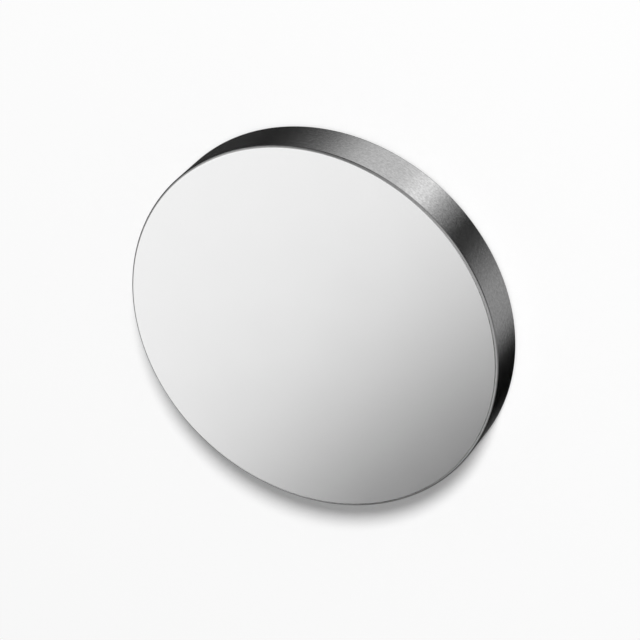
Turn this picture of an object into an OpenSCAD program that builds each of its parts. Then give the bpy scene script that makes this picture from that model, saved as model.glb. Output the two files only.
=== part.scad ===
// Disc magnet: a sintered slug with ground pole faces, tumbled edges and bright nickel plating.
// It is magnetised through its thickness, so each flat face is a pole.
// The disc lies on its lower pole face. The origin is the centre of that face, and +Z is the axis.

/* [Disc] */
// Diameter over the plating
disc_d = 8; // [3:0.5:40]
// Thickness over the plating
disc_t = 1; // [0.5:0.25:10]

/* [Edges] */
// Radius that tumbling leaves round the edge of each pole face
edge_r = 0.06; // [0.02:0.01:0.2]

/* [Hidden] */
$fn = 180;
disc_r = disc_d / 2;
nickel = [0.9, 0.9, 0.9];

// Half of the disc's section, from the axis out to the rim.
// The quarter rounds run smoothly into both pole faces and into the rim.
module half_section() {
    // Between the pole faces
    square([disc_r - edge_r, disc_t]);
    // Out to the rim
    translate([0, edge_r])
        square([disc_r, disc_t - 2 * edge_r]);
    // Tumbled edges
    for (edge_z = [edge_r, disc_t - edge_r])
        translate([disc_r - edge_r, edge_z])
            circle(r = edge_r);
}

// The whole magnet is one piece
module disc_magnet() {
    color(nickel)
        rotate_extrude()
            half_section();
}

disc_magnet();
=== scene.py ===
"""A nickel plated disc magnet, lying flat on a pale floor in soft studio light.

Everything is in metres and in the part's own frame: the disc lies on z = 0 and its axis is +Z.
Angles are in degrees: azimuth from +X towards +Y, elevation above the floor.
"""
import math

import bpy
from mathutils import Matrix, Vector


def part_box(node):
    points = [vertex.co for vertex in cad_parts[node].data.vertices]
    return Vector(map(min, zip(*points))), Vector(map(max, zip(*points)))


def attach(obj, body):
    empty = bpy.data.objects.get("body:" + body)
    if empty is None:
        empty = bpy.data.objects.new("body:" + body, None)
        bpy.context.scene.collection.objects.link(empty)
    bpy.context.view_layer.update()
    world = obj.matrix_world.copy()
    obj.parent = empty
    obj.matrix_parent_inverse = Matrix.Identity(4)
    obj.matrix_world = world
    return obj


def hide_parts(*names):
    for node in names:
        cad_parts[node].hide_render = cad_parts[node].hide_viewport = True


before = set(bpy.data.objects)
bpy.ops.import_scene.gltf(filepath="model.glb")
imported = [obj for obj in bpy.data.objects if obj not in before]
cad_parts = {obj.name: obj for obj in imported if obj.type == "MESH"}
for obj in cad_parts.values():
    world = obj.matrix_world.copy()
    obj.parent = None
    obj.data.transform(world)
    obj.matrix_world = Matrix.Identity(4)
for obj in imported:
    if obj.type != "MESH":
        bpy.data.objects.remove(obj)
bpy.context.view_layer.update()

MM = 0.001

# The disc, from the frame's own box
DISC_LOW, DISC_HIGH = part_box("disc_magnet")
DISC_T = DISC_HIGH.z - DISC_LOW.z
DISC_R = DISC_HIGH.x
EDGE_R = 0.06 * MM

# Smoothness of the turned form
TURN_STEPS = 360
EDGE_STEPS = 12
FACE_RINGS = 4

# Camera: where it stands, and how far it is turned about its own line of sight
CAMERA_AZIMUTH = 58.5
CAMERA_ELEVATION = 52.5
CAMERA_ROLL = -136.9
CAMERA_DISTANCE = 13.5 * DISC_R
SENSOR_WIDTH = 36.0
DISC_SHARE_OF_FRAME = 0.625

# Studio
FLOOR_SIZE = 4.0
FLOOR_COLOR = 0.96
WORLD_AMBIENT = 0.337
KEY_AZIMUTH = 74.0
KEY_ELEVATION = 41.0
KEY_DISTANCE = 0.6
KEY_SIZE = 0.15
KEY_POWER = 3.68

# What the metal sees instead of the plain world: four rings round the disc, one above the other.
# Their greys run with the azimuth, as azimuth and level, from 0, black, to 1, white.
# The low and the middle ring share their dark side.
# In the camera's view the rim mirrors the low ring, and the tumbled edges mirror the rings above it.
RING_RADIUS = 0.6
RING_ROWS = 12
RING_COLUMNS = 96
DARK_SIDE = (
    (-180, 0.03), (-140, 0.03), (-128, 0.13), (-114, 0.12), (-100, 0.05), (-82, 0.0), (-45, 0.0),
    (-26, 0.26), (-4, 0.28), (24, 0.035), (37, 0.015), (52, 0.31), (66, 0.90),
)
LOW_GREYS = DARK_SIDE + (
    (78, 0.57), (104, 0.52), (114, 0.39), (130, 0.14), (148, 0.04), (166, 0.015), (180, 0.03),
)
MIDDLE_GREYS = DARK_SIDE + (
    (78, 0.42), (90, 0.14), (120, 0.08), (148, 0.05), (166, 0.02), (180, 0.03),
)
HIGH_GREYS = (
    (-180, 0.9), (-118, 0.95), (-92, 0.5), (-66, 1.0), (58, 1.0), (78, 0.78), (98, 0.50),
    (112, 0.40), (126, 0.52), (142, 0.80), (158, 0.95), (180, 0.9),
)
ZENITH_GREYS = ((-180, 1.0), (180, 1.0))
# Each ring: name, elevation of its lower and upper edge, how much soft clouds darken it, and greys
RINGS = (
    ("low_ring", -90.0, -34.0, 0.0, LOW_GREYS),
    ("middle_ring", -34.0, 4.0, 0.0, MIDDLE_GREYS),
    ("high_ring", 4.0, 60.0, 0.4, HIGH_GREYS),
    ("zenith", 60.0, 90.0, 0.4, ZENITH_GREYS),
)
# Clouds on the rings: the noise darkens fully below the first level, and not at all above the second
CLOUDS_PER_METRE = 8.0
CLOUD_DETAIL = 1.0
CLOUD_LEVELS = (0.35, 0.65)

# Flat cards that the pole faces mirror.
# Each card: name, azimuth, elevation, width, height and roll as the disc sees them, level, distance
CARDS = (
    ("face_card", 232.0, 53.0, 46.0, 44.0, -28.5, 1.0, 0.55),
    ("face_flag", 263.0, 52.0, 23.0, 50.0, -28.5, 0.0, 0.5),
)

# Nickel: roughness, tone, grain and relief on the rim, on the tumbled edges and on the pole faces.
# The zones blend by how upright the surface's normal is, from 0 on the rim to 1 on the pole faces:
# where the rim's value ends, where the edges' value begins and ends, and where the faces' begins
NICKEL_COLOR = 0.92
ZONE_ROUGHNESS = (0.18, 0.28, 0.2)
# The edges' tone of 0.42 is painted shade: it darkens the tumbled edges in place of the dark
# reflections along them.
ZONE_TONE_AND_EDGE_SHADE = (0.95, 0.42, 1.0)
ZONE_GRAIN = (0.8, 0.5, 0.03)
ZONE_RELIEF = (1.0, 0.4, 0.01)
ZONE_PLACES = (0.04, 0.25, 0.92, 0.998)
# Fine grain of the plating, squeezed along the axis
GRAIN_PER_MM = 16.0
GRAIN_SQUEEZE = 1.4
GRAIN_DETAIL = 3.0
GRAIN_ROUGHNESS = 0.6
GRAIN_DEPTH = 0.002 * MM
# Wide drift of the roughness, up and down
DRIFT = 0.01
DRIFT_PER_MM = 0.9
DRIFT_DETAIL = 2.0

# Corners of a square about its centre, anticlockwise
CORNERS = ((-1, -1), (1, -1), (1, 1), (-1, 1))


def on_sphere(azimuth, elevation, radius=1.0):
    """The point in that direction from the origin."""
    turn, rise = math.radians(azimuth), math.radians(elevation)
    level = radius * math.cos(rise)
    return Vector((level * math.cos(turn), level * math.sin(turn), radius * math.sin(rise)))


def add_object(name, data):
    """A new object in the scene."""
    made = bpy.data.objects.new(name, data)
    bpy.context.scene.collection.objects.link(made)
    return made


def add_mesh(name, points, faces, material):
    """A new mesh object in the scene."""
    mesh = bpy.data.meshes.new(name)
    mesh.from_pydata(points, [], faces)
    mesh.materials.append(material)
    return add_object(name, mesh)


def band_faces(rows, columns):
    """Faces that join neighbouring rows of points, where each row runs all the way round."""
    faces = []
    for row in range(rows - 1):
        low, high = row * columns, (row + 1) * columns
        for column in range(columns):
            after = (column + 1) % columns
            faces.append((low + column, low + after, high + after, high + column))
    return faces


def disc_section():
    """The disc's section, from the lower face's centre to the upper one's.

    Each point is its radius, its height and the direction that the surface faces there.
    """
    inner = DISC_R - EDGE_R
    face_radii = [inner * ring / FACE_RINGS for ring in range(FACE_RINGS)]
    section = [(radius, 0.0, (0.0, -1.0)) for radius in face_radii]
    for centre_z, start in ((EDGE_R, -90.0), (DISC_T - EDGE_R, 0.0)):
        for step in range(EDGE_STEPS + 1):
            angle = math.radians(start + 90.0 * step / EDGE_STEPS)
            out, up = math.cos(angle), math.sin(angle)
            section.append((inner + EDGE_R * out, centre_z + EDGE_R * up, (out, up)))
    section += [(radius, DISC_T, (0.0, 1.0)) for radius in reversed(face_radii)]
    return section


def turned_piece(name, section, material):
    """The section turned about the Z axis, with the form's exact normals.

    The section's two ends lie on the axis.
    """
    bottom, *rings, top = section
    points, normals = [], []
    for radius, z, (out, up) in rings:
        for step in range(TURN_STEPS):
            angle = 2 * math.pi * step / TURN_STEPS
            points.append((radius * math.cos(angle), radius * math.sin(angle), z))
            normals.append((out * math.cos(angle), out * math.sin(angle), up))

    faces = band_faces(len(rings), TURN_STEPS)
    bottom_index, top_index = len(points), len(points) + 1
    last_ring = bottom_index - TURN_STEPS
    for step in range(TURN_STEPS):
        after = (step + 1) % TURN_STEPS
        faces.append((bottom_index, after, step))
        faces.append((top_index, last_ring + step, last_ring + after))
    points += [(0.0, 0.0, bottom[1]), (0.0, 0.0, top[1])]
    normals += [(0.0, 0.0, -1.0), (0.0, 0.0, 1.0)]

    piece = add_mesh(name, points, faces, material)
    piece.data.shade_smooth()
    piece.data.normals_split_custom_set_from_vertices(normals)
    return piece


def new_material(name):
    """A new material and its node tree."""
    material = bpy.data.materials.new(name)
    material.use_nodes = True
    return material, material.node_tree


def add_node(tree, kind, **values):
    """A new shader node. Each value sets the attribute or input of that name, with _ for a space."""
    node = tree.nodes.new(kind)
    for key, value in values.items():
        if hasattr(node, key):
            setattr(node, key, value)
        else:
            node.inputs[key.replace("_", " ")].default_value = value
    return node


def math_node(tree, operation, *values):
    """The result of one sum. Each value is a number or the output of another node."""
    node = add_node(tree, "ShaderNodeMath", operation=operation)
    for socket, value in zip(node.inputs, values):
        if isinstance(value, (int, float)):
            socket.default_value = value
        else:
            tree.links.new(value, socket)
    return node.outputs["Value"]


def noise(tree, vector, **values):
    """The level of a noise at the vector."""
    node = add_node(tree, "ShaderNodeTexNoise", **values)
    tree.links.new(vector, node.inputs["Vector"])
    return node.outputs["Fac"]


def grey_ramp(tree, factor, stops, interpolation="LINEAR"):
    """A grey level that runs with the factor through the stops, each a place and a level."""
    ramp = add_node(tree, "ShaderNodeValToRGB")
    ramp.color_ramp.interpolation = interpolation
    elements = ramp.color_ramp.elements
    elements.remove(elements[-1])
    elements[0].position = stops[0][0]
    for place, level in stops:
        element = elements[0] if place == stops[0][0] else elements.new(place)
        element.color = (level, level, level, 1)
    tree.links.new(factor, ramp.inputs["Fac"])
    return ramp.outputs["Color"]


def by_zone(tree, upright, values):
    """A value for the rim, one for the tumbled edges and one for the pole faces, blended smoothly."""
    rim, edge, face = values
    return grey_ramp(tree, upright, tuple(zip(ZONE_PLACES, (rim, edge, edge, face))), "EASE")


def nickel():
    """Bright nickel plating: near mirror on the faces, grained on the rim, rougher on the edges, and
    darker there by painted shade.
    """
    material, tree = new_material("nickel_plate")
    link = tree.links.new
    shader = tree.nodes["Principled BSDF"]
    shader.inputs["Metallic"].default_value = 1.0

    # 0 on the rim, 1 on the pole faces
    where = add_node(tree, "ShaderNodeTexCoord")
    normal = add_node(tree, "ShaderNodeSeparateXYZ")
    link(where.outputs["Normal"], normal.inputs["Vector"])
    upright = math_node(tree, "ABSOLUTE", normal.outputs["Z"])

    # Grain and drift, in millimetres
    place = add_node(tree, "ShaderNodeMapping", Scale=(1 / MM, 1 / MM, GRAIN_SQUEEZE / MM))
    link(where.outputs["Object"], place.inputs["Vector"])
    in_mm = place.outputs["Vector"]
    grain = noise(tree, in_mm, Scale=GRAIN_PER_MM, Detail=GRAIN_DETAIL, Roughness=GRAIN_ROUGHNESS)
    drift = noise(tree, in_mm, Scale=DRIFT_PER_MM, Detail=DRIFT_DETAIL)

    # Roughness
    drift = math_node(tree, "MULTIPLY_ADD", drift, 2 * DRIFT, -DRIFT)
    rough = math_node(tree, "ADD", by_zone(tree, upright, ZONE_ROUGHNESS), drift)
    link(rough, shader.inputs["Roughness"])

    # Colour: the zone's tone, lighter and darker with the grain; the edges' dark tone is painted
    # shade
    speck = math_node(tree, "SUBTRACT", grain, 0.5)
    speck = math_node(tree, "MULTIPLY_ADD", speck, by_zone(tree, upright, ZONE_GRAIN), 1.0)
    level = math_node(tree, "MULTIPLY", speck, by_zone(tree, upright, ZONE_TONE_AND_EDGE_SHADE))
    level = math_node(tree, "MULTIPLY", level, NICKEL_COLOR)
    color = add_node(tree, "ShaderNodeCombineColor")
    for channel in ("Red", "Green", "Blue"):
        link(level, color.inputs[channel])
    link(color.outputs["Color"], shader.inputs["Base Color"])

    # Relief of the grain
    relief = add_node(tree, "ShaderNodeBump", Distance=GRAIN_DEPTH)
    link(grain, relief.inputs["Height"])
    link(by_zone(tree, upright, ZONE_RELIEF), relief.inputs["Strength"])
    link(relief.outputs["Normal"], shader.inputs["Normal"])
    return material


def disc():
    """The whole magnet as one turned piece."""
    piece = turned_piece("disc", disc_section(), nickel())
    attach(piece, "root")
    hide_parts("disc_magnet")


def floor():
    """A plain pale floor. The metal sees the studio instead of it."""
    material, tree = new_material("floor")
    shader = tree.nodes["Principled BSDF"]
    shader.inputs["Base Color"].default_value = (FLOOR_COLOR, FLOOR_COLOR, FLOOR_COLOR, 1)
    shader.inputs["Roughness"].default_value = 1.0
    shader.inputs["Specular IOR Level"].default_value = 0.0
    half = FLOOR_SIZE / 2
    piece = add_mesh("floor", [(x * half, y * half, 0) for x, y in CORNERS], [(0, 1, 2, 3)], material)
    piece.visible_glossy = False


def glowing(name):
    """A material that shows its own grey and lights nothing by itself, its tree and its colour."""
    material, tree = new_material(name)
    material.cycles.emission_sampling = "NONE"
    tree.nodes.clear()
    glow = add_node(tree, "ShaderNodeEmission")
    output = add_node(tree, "ShaderNodeOutputMaterial")
    tree.links.new(glow.outputs["Emission"], output.inputs["Surface"])
    return material, tree, glow.inputs["Color"]


def seen_in_metal_only(name, points, faces, material):
    """A stage object that only the metal's reflections show."""
    piece = add_mesh(name, points, faces, material)
    piece.visible_camera = False
    piece.visible_diffuse = False
    piece.visible_shadow = False


def card(name, azimuth, elevation, width, height, roll, level, distance):
    """A flat studio card that faces the disc."""
    material, _, color = glowing(name)
    color.default_value = (level, level, level, 1)
    back = on_sphere(azimuth, elevation)
    turn = back.to_track_quat("Z", "Y").to_matrix() @ Matrix.Rotation(math.radians(roll), 3, "Z")
    half_width = distance * math.tan(math.radians(width / 2))
    half_height = distance * math.tan(math.radians(height / 2))
    points = [back * distance + turn @ Vector((x * half_width, y * half_height, 0))
              for x, y in CORNERS]
    seen_in_metal_only(name, points, [(0, 1, 2, 3)], material)


def ring(name, bottom, top, clouds, greys):
    """A band of the sphere round the disc, with greys that run with the azimuth under soft clouds."""
    material, tree, color = glowing(name)
    link = tree.links.new
    where = add_node(tree, "ShaderNodeTexCoord")
    angle = add_node(tree, "ShaderNodeTexGradient", gradient_type="RADIAL")
    link(where.outputs["Object"], angle.inputs["Vector"])
    stops = [(azimuth / 360 + 0.5, level) for azimuth, level in greys]
    grey = grey_ramp(tree, angle.outputs["Fac"], stops)

    cloud = noise(tree, where.outputs["Object"], Scale=CLOUDS_PER_METRE, Detail=CLOUD_DETAIL)
    full, none = CLOUD_LEVELS
    shade = add_node(tree, "ShaderNodeMapRange", interpolation_type="SMOOTHSTEP",
                     From_Min=full, From_Max=none, To_Min=1.0 - clouds, To_Max=1.0)
    link(cloud, shade.inputs["Value"])
    link(math_node(tree, "MULTIPLY", grey, shade.outputs["Result"]), color)

    points = [on_sphere(360 * column / RING_COLUMNS, bottom + (top - bottom) * row / RING_ROWS,
                        RING_RADIUS)
              for row in range(RING_ROWS + 1) for column in range(RING_COLUMNS)]
    seen_in_metal_only(name, points, band_faces(RING_ROWS + 1, RING_COLUMNS), material)


def surround():
    """A white world for the camera and the metal, and a plain ambient level for the floor."""
    world = bpy.data.worlds.new("studio")
    bpy.context.scene.world = world
    world.use_nodes = True
    world.cycles.sampling_method = "NONE"
    tree = world.node_tree
    background = tree.nodes["Background"]
    background.inputs["Color"].default_value = (1, 1, 1, 1)
    ray = add_node(tree, "ShaderNodeLightPath")
    seen = math_node(tree, "ADD", ray.outputs["Is Camera Ray"], ray.outputs["Is Glossy Ray"])
    seen = math_node(tree, "ADD", seen, ray.outputs["Is Transmission Ray"])
    strength = add_node(tree, "ShaderNodeMapRange", To_Min=WORLD_AMBIENT, To_Max=1.0)
    tree.links.new(seen, strength.inputs["Value"])
    tree.links.new(strength.outputs["Result"], background.inputs["Strength"])


def key_lamp():
    """The one lamp, on the camera's side and high, so that a soft shadow shows below the disc."""
    data = bpy.data.lights.new("key", "AREA")
    data.shape = "DISK"
    data.size = KEY_SIZE
    data.energy = KEY_POWER
    lamp = add_object("key", data)
    lamp.location = on_sphere(KEY_AZIMUTH, KEY_ELEVATION, KEY_DISTANCE)
    lamp.rotation_mode = "QUATERNION"
    lamp.rotation_quaternion = (-lamp.location).to_track_quat("-Z", "Y")
    lamp.visible_glossy = False


def camera():
    """A long lens on the disc's centre, turned about its own line of sight."""
    data = bpy.data.cameras.new("camera")
    data.sensor_width = SENSOR_WIDTH
    data.lens = SENSOR_WIDTH * DISC_SHARE_OF_FRAME * CAMERA_DISTANCE / (2 * DISC_R)
    data.clip_start = CAMERA_DISTANCE / 10
    data.clip_end = 2 * FLOOR_SIZE
    viewer = add_object("camera", data)
    back = on_sphere(CAMERA_AZIMUTH, CAMERA_ELEVATION)
    viewer.location = Vector((0, 0, DISC_T / 2)) + back * CAMERA_DISTANCE
    right = Vector((0, 0, 1)).cross(back).normalized()
    level = Matrix((right, back.cross(right), back)).transposed()
    roll = Matrix.Rotation(math.radians(CAMERA_ROLL), 3, "Z")
    viewer.rotation_mode = "QUATERNION"
    viewer.rotation_quaternion = (level @ roll).to_quaternion()
    bpy.context.scene.camera = viewer


disc()
floor()
surround()
key_lamp()
camera()
for ring_values in RINGS:
    ring(*ring_values)
for card_values in CARDS:
    card(*card_values)

bpy.context.scene.view_settings.view_transform = "Standard"
